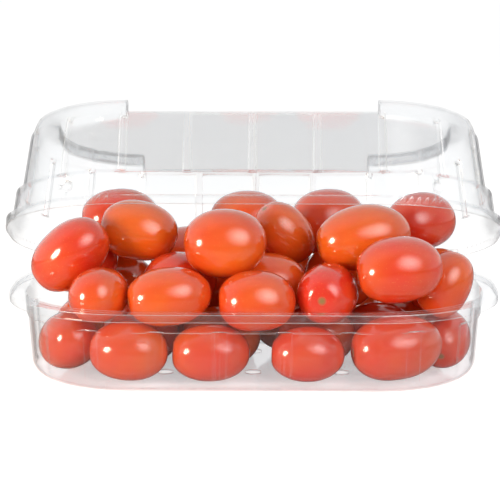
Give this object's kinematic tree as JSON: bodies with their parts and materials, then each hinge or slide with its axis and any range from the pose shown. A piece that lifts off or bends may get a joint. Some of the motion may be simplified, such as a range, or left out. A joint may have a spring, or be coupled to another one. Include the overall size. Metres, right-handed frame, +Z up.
{
  "type": "hinged produce punnet",
  "caption": "Clear hinged punnet with a domed, lugged lid standing ajar over a heap of plum cherry tomatoes.",
  "frame": {"origin": "centre of the tray's underside, on the table", "axes": "+X along the long side, +Y towards the hinge, +Z up"},
  "size_m": [0.193, 0.116, 0.1071],
  "materials": {
    "clear_film": "glossy",
    "tomato_skin": "glossy"
  },
  "bodies": {
    "tray": {"tray": "clear_film", "tomato_01": "tomato_skin", "tomato_02": "tomato_skin", "tomato_03": "tomato_skin", "tomato_04": "tomato_skin", "tomato_05": "tomato_skin", "tomato_06": "tomato_skin", "tomato_07": "tomato_skin", "tomato_08": "tomato_skin", "tomato_09": "tomato_skin", "tomato_10": "tomato_skin", "tomato_11": "tomato_skin", "tomato_12": "tomato_skin", "tomato_13": "tomato_skin", "tomato_14": "tomato_skin", "tomato_15": "tomato_skin", "tomato_16": "tomato_skin", "tomato_17": "tomato_skin", "tomato_18": "tomato_skin", "tomato_19": "tomato_skin", "tomato_20": "tomato_skin", "tomato_21": "tomato_skin", "tomato_22": "tomato_skin", "tomato_23": "tomato_skin", "tomato_24": "tomato_skin", "tomato_25": "tomato_skin", "tomato_26": "tomato_skin", "tomato_27": "tomato_skin", "tomato_28": "tomato_skin", "tomato_29": "tomato_skin", "tomato_30": "tomato_skin", "tomato_31": "tomato_skin", "tomato_32": "tomato_skin", "tomato_33": "tomato_skin", "tomato_34": "tomato_skin", "tomato_35": "tomato_skin", "tomato_36": "tomato_skin", "tomato_37": "tomato_skin", "tomato_38": "tomato_skin", "tomato_39": "tomato_skin", "tomato_40": "tomato_skin", "tomato_41": "tomato_skin"},
    "lid": {"lid": "clear_film"}
  },
  "joints": [
    {"name": "lid_hinge", "type": "hinge", "parent": "tray", "child": "lid", "pos_m": [0, 0.0572, 0.03215], "axis": [-1, 0, 0], "range_deg": [-22, 133], "stiffness_Nm_per_rad": 0.08, "springref_deg": 8.02}
  ]
}
